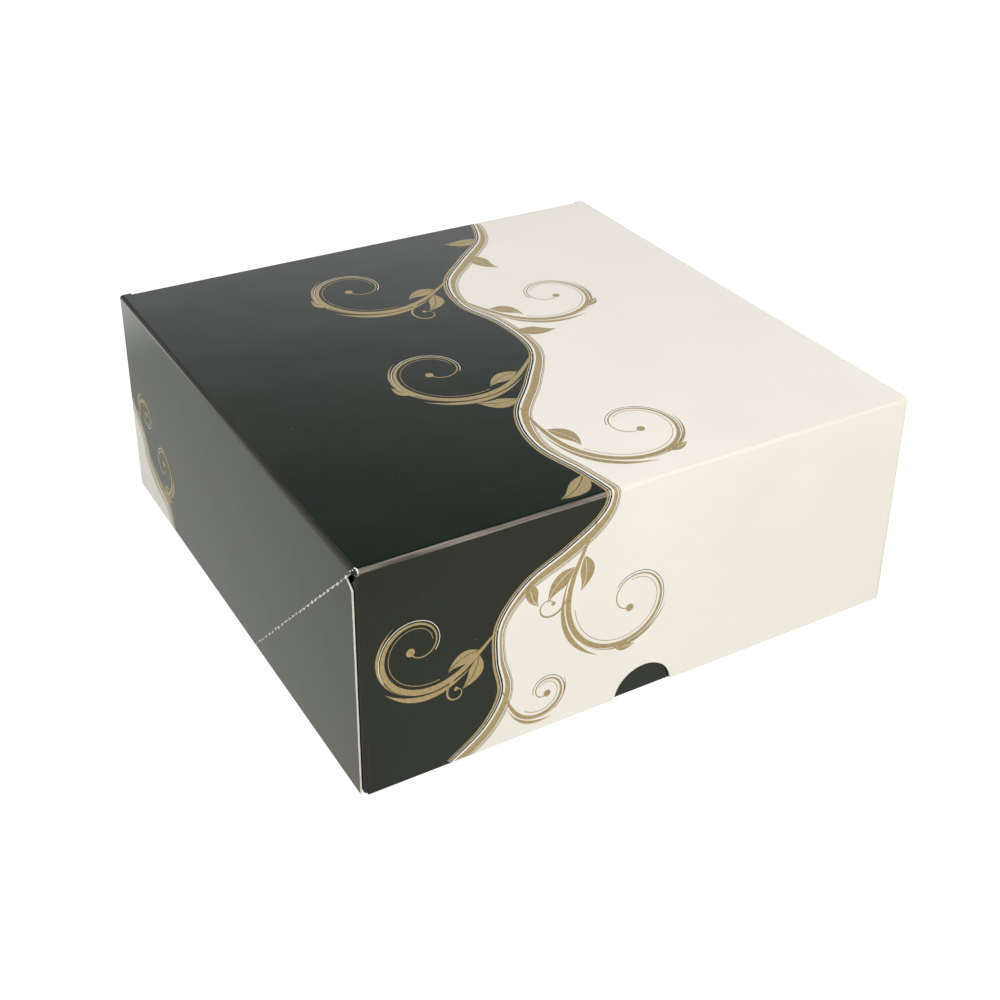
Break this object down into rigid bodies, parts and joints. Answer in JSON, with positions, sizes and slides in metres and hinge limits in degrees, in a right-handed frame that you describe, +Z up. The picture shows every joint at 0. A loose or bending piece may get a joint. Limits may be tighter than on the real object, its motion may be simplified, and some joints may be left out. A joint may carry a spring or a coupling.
{
  "type": "bakery box",
  "caption": "Square folding-board cake box with a full-depth lid hinged on the tray's back wall, glued folding corners and a thumb notch at the front.",
  "frame": {"origin": "middle of the box on the surface it stands on", "axes": "+X to the right along the front, +Y towards the hinged back, +Z up"},
  "size_m": [0.253, 0.247, 0.1],
  "materials": {
    "printed_black_board": "black print under a satin varnish, white board on the cut edges",
    "printed_cream_board": "cream print under a satin varnish, white board on the cut edges",
    "glue_film": "dried dispersion glue"
  },
  "bodies": {
    "tray": {"base_back_crease": "printed_black_board", "base_front_crease": "printed_black_board", "base_left_crease": "printed_black_board", "base_panel": "printed_black_board", "base_right_crease": "printed_black_board", "tray_back_left_corner_crease": "printed_black_board", "tray_back_left_glue": "glue_film", "tray_back_left_gusset": "printed_black_board", "tray_back_left_tab": "printed_black_board", "tray_back_right_corner_crease": "printed_black_board", "tray_back_right_glue": "glue_film", "tray_back_right_gusset": "printed_black_board", "tray_back_right_tab": "printed_black_board", "tray_back_wall": "printed_black_board", "tray_front_left_corner_crease": "printed_black_board", "tray_front_left_glue": "glue_film", "tray_front_left_gusset": "printed_black_board", "tray_front_left_tab": "printed_black_board", "tray_front_right_corner_crease": "printed_black_board", "tray_front_right_glue": "glue_film", "tray_front_right_gusset": "printed_black_board", "tray_front_right_tab": "printed_black_board", "tray_front_wall": "printed_black_board", "tray_left_wall": "printed_black_board", "tray_right_wall": "printed_black_board"},
    "lid": {"hinge_crease": "printed_black_board", "lid_front_crease": "printed_cream_board", "lid_front_panel": "printed_cream_board", "lid_left_corner_crease": "printed_black_board", "lid_left_crease": "printed_black_board", "lid_left_glue": "glue_film", "lid_left_gusset": "printed_black_board", "lid_left_panel": "printed_black_board", "lid_left_tab": "printed_black_board", "lid_right_corner_crease": "printed_cream_board", "lid_right_crease": "printed_cream_board", "lid_right_glue": "glue_film", "lid_right_gusset": "printed_cream_board", "lid_right_panel": "printed_cream_board", "lid_right_tab": "printed_cream_board", "lid_top_panel": "printed_black_board"}
  },
  "joints": [
    {"name": "lid_hinge", "type": "hinge", "parent": "tray", "child": "lid", "pos_m": [0, 0.1235, 0.1], "axis": [-1, 0, 0], "range_deg": [0, 200]}
  ]
}
